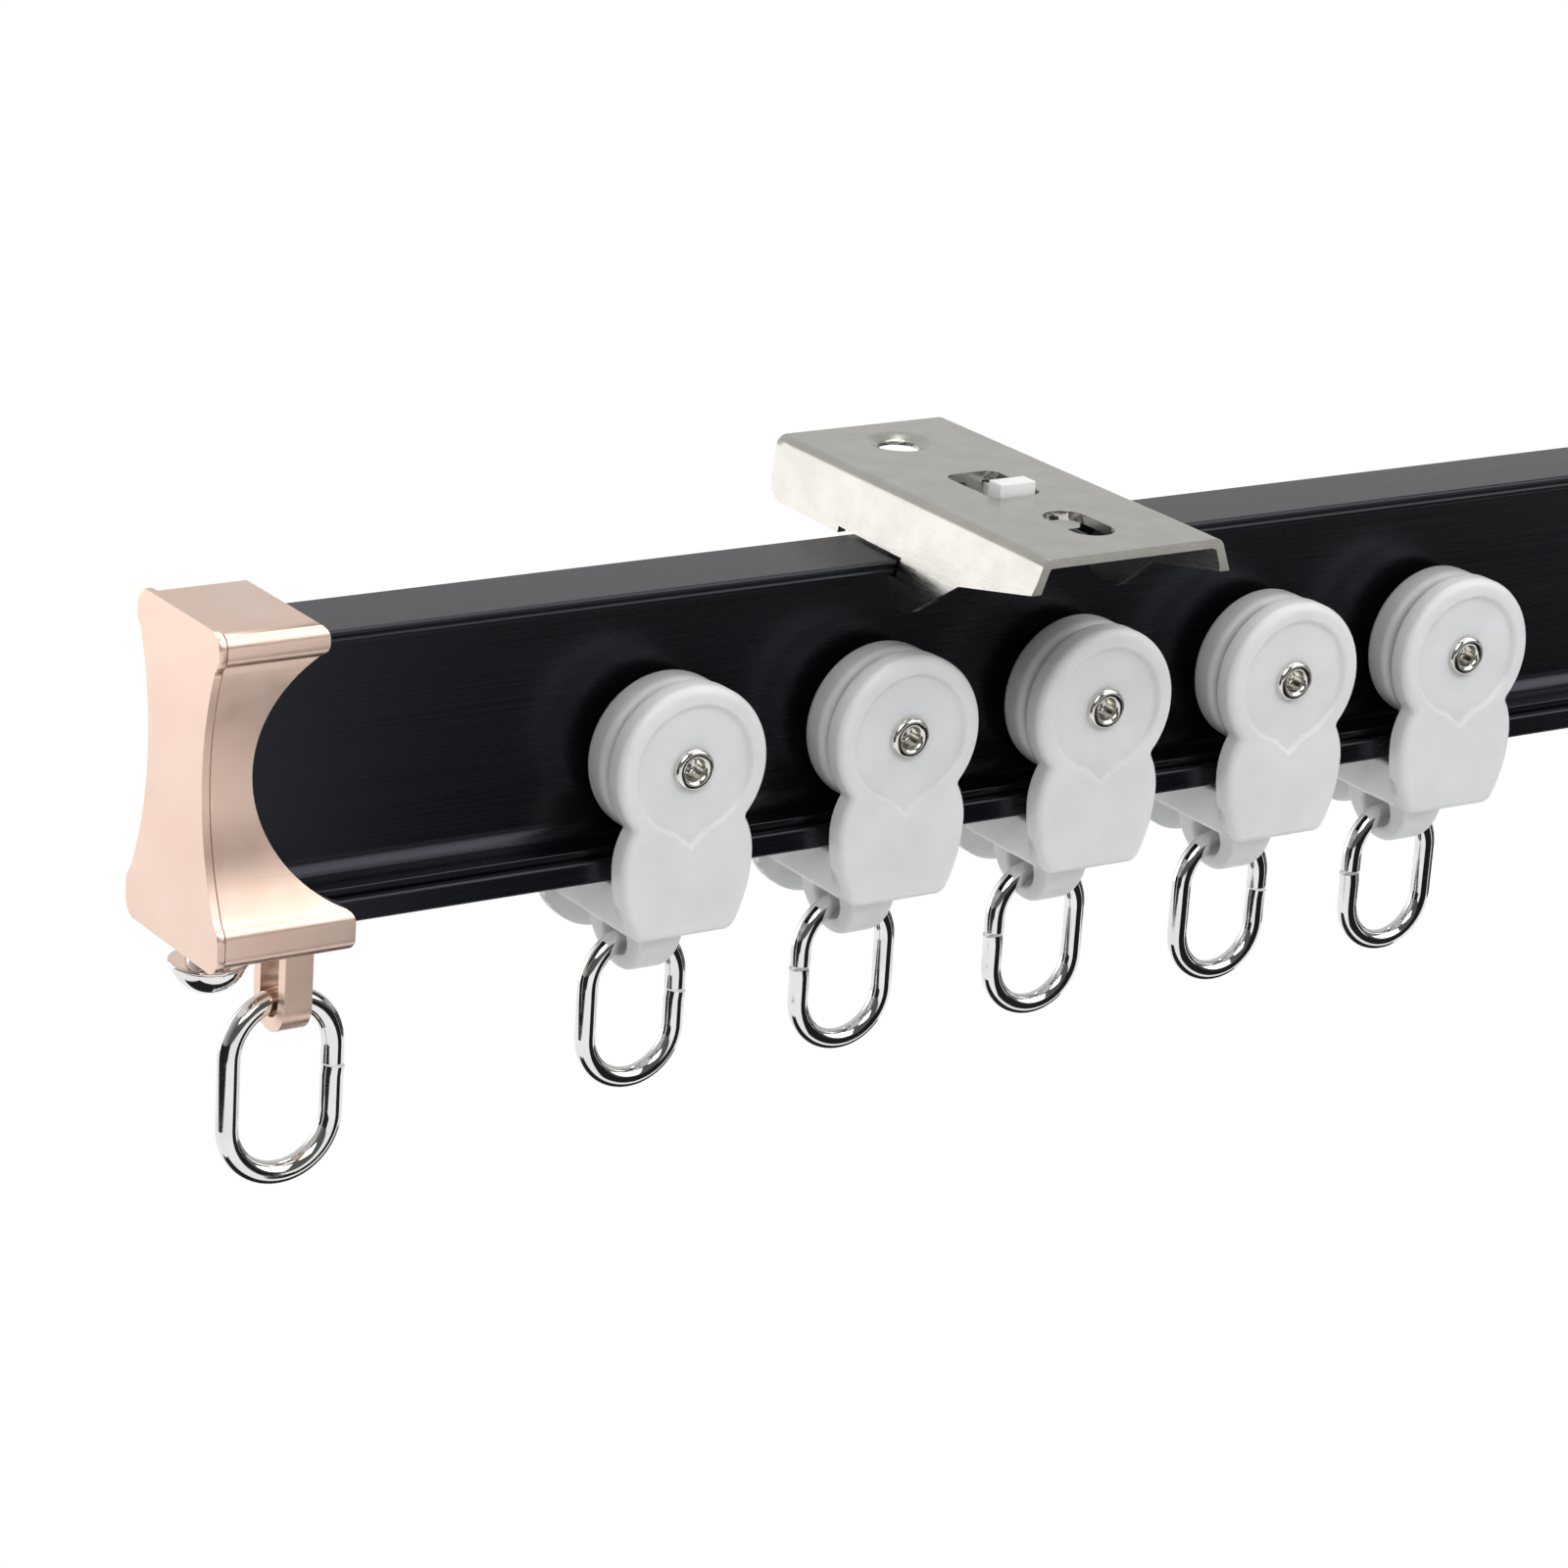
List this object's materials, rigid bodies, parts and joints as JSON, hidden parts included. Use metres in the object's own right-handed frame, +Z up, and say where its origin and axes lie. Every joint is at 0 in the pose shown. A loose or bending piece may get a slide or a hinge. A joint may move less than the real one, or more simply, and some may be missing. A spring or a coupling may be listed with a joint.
{
  "type": "curtain track",
  "caption": "Ceiling curtain track: I-section rail with waisted end caps, a sprung clip bracket and straddling wheeled carriers with split rings for curtain hooks.",
  "frame": {"origin": "on the bracket's ceiling face, above the rail's middle plane, at the middle of the bracket's width", "axes": "+X along the rail to the right as seen from the front, +Y to the rear, +Z up towards the ceiling"},
  "size_m": [0.212, 0.0493, 0.067],
  "materials": {
    "black_anodised_aluminium": "satin anodised",
    "rose_gold_lacquered_zinc": "satin metallic lacquer",
    "nickel_plated_sheet": "plated rolled sheet",
    "chrome_plated_steel": "bright plated",
    "nickel_plated_rivet": "bright plated",
    "spring_steel": "drawn wire",
    "white_nylon_moulding": "moulded, translucent",
    "white_nylon_wheel": "moulded, translucent",
    "white_nylon_latch": "moulded"
  },
  "bodies": {
    "track": {"rail": "black_anodised_aluminium", "end_cap_left": "rose_gold_lacquered_zinc", "end_cap_right": "rose_gold_lacquered_zinc", "cap_screw_left": "chrome_plated_steel", "cap_screw_right": "chrome_plated_steel", "bracket_channel": "nickel_plated_sheet"},
    "latch": {"latch_slider": "white_nylon_latch", "latch_spring": "spring_steel"},
    "cap_ring_left": {"cap_ring_left": "chrome_plated_steel"},
    "cap_ring_right": {"cap_ring_right": "chrome_plated_steel"},
    "carrier_1": {"carrier_1_body": "white_nylon_moulding", "carrier_1_rivet_front": "nickel_plated_rivet", "carrier_1_rivet_rear": "nickel_plated_rivet"},
    "carrier_1_wheel_front": {"carrier_1_wheel_front": "white_nylon_wheel"},
    "carrier_1_wheel_rear": {"carrier_1_wheel_rear": "white_nylon_wheel"},
    "carrier_1_ring": {"carrier_1_ring": "chrome_plated_steel"},
    "carrier_2": {"carrier_2_body": "white_nylon_moulding", "carrier_2_rivet_front": "nickel_plated_rivet", "carrier_2_rivet_rear": "nickel_plated_rivet"},
    "carrier_2_wheel_front": {"carrier_2_wheel_front": "white_nylon_wheel"},
    "carrier_2_wheel_rear": {"carrier_2_wheel_rear": "white_nylon_wheel"},
    "carrier_2_ring": {"carrier_2_ring": "chrome_plated_steel"},
    "carrier_3": {"carrier_3_body": "white_nylon_moulding", "carrier_3_rivet_front": "nickel_plated_rivet", "carrier_3_rivet_rear": "nickel_plated_rivet"},
    "carrier_3_wheel_front": {"carrier_3_wheel_front": "white_nylon_wheel"},
    "carrier_3_wheel_rear": {"carrier_3_wheel_rear": "white_nylon_wheel"},
    "carrier_3_ring": {"carrier_3_ring": "chrome_plated_steel"},
    "carrier_4": {"carrier_4_body": "white_nylon_moulding", "carrier_4_rivet_front": "nickel_plated_rivet", "carrier_4_rivet_rear": "nickel_plated_rivet"},
    "carrier_4_wheel_front": {"carrier_4_wheel_front": "white_nylon_wheel"},
    "carrier_4_wheel_rear": {"carrier_4_wheel_rear": "white_nylon_wheel"},
    "carrier_4_ring": {"carrier_4_ring": "chrome_plated_steel"},
    "carrier_5": {"carrier_5_body": "white_nylon_moulding", "carrier_5_rivet_front": "nickel_plated_rivet", "carrier_5_rivet_rear": "nickel_plated_rivet"},
    "carrier_5_wheel_front": {"carrier_5_wheel_front": "white_nylon_wheel"},
    "carrier_5_wheel_rear": {"carrier_5_wheel_rear": "white_nylon_wheel"},
    "carrier_5_ring": {"carrier_5_ring": "chrome_plated_steel"}
  },
  "joints": [
    {"name": "latch_slide", "type": "slide", "parent": "track", "child": "latch", "axis": [0, 1, 0], "range_m": [0, 0.0022], "stiffness_N_per_m": 250, "deforming": ["latch_spring"]},
    {"name": "cap_ring_left_swing", "type": "hinge", "parent": "track", "child": "cap_ring_left", "pos_m": [-0.07945, 0, -0.04569], "axis": [1, 0, 0], "range_deg": [-75, 75]},
    {"name": "cap_ring_right_swing", "type": "hinge", "parent": "track", "child": "cap_ring_right", "pos_m": [0.10745, 0, -0.04569], "axis": [1, 0, 0], "range_deg": [-75, 75]},
    {"name": "carrier_1_slide", "type": "slide", "parent": "track", "child": "carrier_1", "axis": [1, 0, 0], "range_m": [-0.02665, 0.01975]},
    {"name": "carrier_1_wheel_front_spin", "type": "hinge", "parent": "carrier_1", "child": "carrier_1_wheel_front", "pos_m": [-0.0388, -0.00425, -0.0242], "axis": [0, 1, 0], "continuous": true},
    {"name": "carrier_1_wheel_rear_spin", "type": "hinge", "parent": "carrier_1", "child": "carrier_1_wheel_rear", "pos_m": [-0.0388, 0.00425, -0.0242], "axis": [0, 1, 0], "continuous": true},
    {"name": "carrier_1_ring_swing", "type": "hinge", "parent": "carrier_1", "child": "carrier_1_ring", "pos_m": [-0.0388, 0, -0.04504], "axis": [1, 0, 0], "range_deg": [-75, 75]},
    {"name": "carrier_2_slide", "type": "slide", "parent": "carrier_1", "child": "carrier_2", "axis": [1, 0, 0], "range_m": [-0.0082, 0.003]},
    {"name": "carrier_2_wheel_front_spin", "type": "hinge", "parent": "carrier_2", "child": "carrier_2_wheel_front", "pos_m": [-0.0126, -0.00425, -0.0242], "axis": [0, 1, 0], "continuous": true},
    {"name": "carrier_2_wheel_rear_spin", "type": "hinge", "parent": "carrier_2", "child": "carrier_2_wheel_rear", "pos_m": [-0.0126, 0.00425, -0.0242], "axis": [0, 1, 0], "continuous": true},
    {"name": "carrier_2_ring_swing", "type": "hinge", "parent": "carrier_2", "child": "carrier_2_ring", "pos_m": [-0.0126, 0, -0.04504], "axis": [1, 0, 0], "range_deg": [-75, 75]},
    {"name": "carrier_3_slide", "type": "slide", "parent": "carrier_2", "child": "carrier_3", "axis": [1, 0, 0], "range_m": [-0.007, 0.003]},
    {"name": "carrier_3_wheel_front_spin", "type": "hinge", "parent": "carrier_3", "child": "carrier_3_wheel_front", "pos_m": [0.0124, -0.00425, -0.0242], "axis": [0, 1, 0], "continuous": true},
    {"name": "carrier_3_wheel_rear_spin", "type": "hinge", "parent": "carrier_3", "child": "carrier_3_wheel_rear", "pos_m": [0.0124, 0.00425, -0.0242], "axis": [0, 1, 0], "continuous": true},
    {"name": "carrier_3_ring_swing", "type": "hinge", "parent": "carrier_3", "child": "carrier_3_ring", "pos_m": [0.0124, 0, -0.04504], "axis": [1, 0, 0], "range_deg": [-75, 75]},
    {"name": "carrier_4_slide", "type": "slide", "parent": "carrier_3", "child": "carrier_4", "axis": [1, 0, 0], "range_m": [-0.0072, 0.003]},
    {"name": "carrier_4_wheel_front_spin", "type": "hinge", "parent": "carrier_4", "child": "carrier_4_wheel_front", "pos_m": [0.0376, -0.00425, -0.0242], "axis": [0, 1, 0], "continuous": true},
    {"name": "carrier_4_wheel_rear_spin", "type": "hinge", "parent": "carrier_4", "child": "carrier_4_wheel_rear", "pos_m": [0.0376, 0.00425, -0.0242], "axis": [0, 1, 0], "continuous": true},
    {"name": "carrier_4_ring_swing", "type": "hinge", "parent": "carrier_4", "child": "carrier_4_ring", "pos_m": [0.0376, 0, -0.04504], "axis": [1, 0, 0], "range_deg": [-75, 75]},
    {"name": "carrier_5_slide", "type": "slide", "parent": "carrier_4", "child": "carrier_5", "axis": [1, 0, 0], "range_m": [-0.0061, 0.003]},
    {"name": "carrier_5_wheel_front_spin", "type": "hinge", "parent": "carrier_5", "child": "carrier_5_wheel_front", "pos_m": [0.0617, -0.00425, -0.0242], "axis": [0, 1, 0], "continuous": true},
    {"name": "carrier_5_wheel_rear_spin", "type": "hinge", "parent": "carrier_5", "child": "carrier_5_wheel_rear", "pos_m": [0.0617, 0.00425, -0.0242], "axis": [0, 1, 0], "continuous": true},
    {"name": "carrier_5_ring_swing", "type": "hinge", "parent": "carrier_5", "child": "carrier_5_ring", "pos_m": [0.0617, 0, -0.04504], "axis": [1, 0, 0], "range_deg": [-75, 75]}
  ]
}
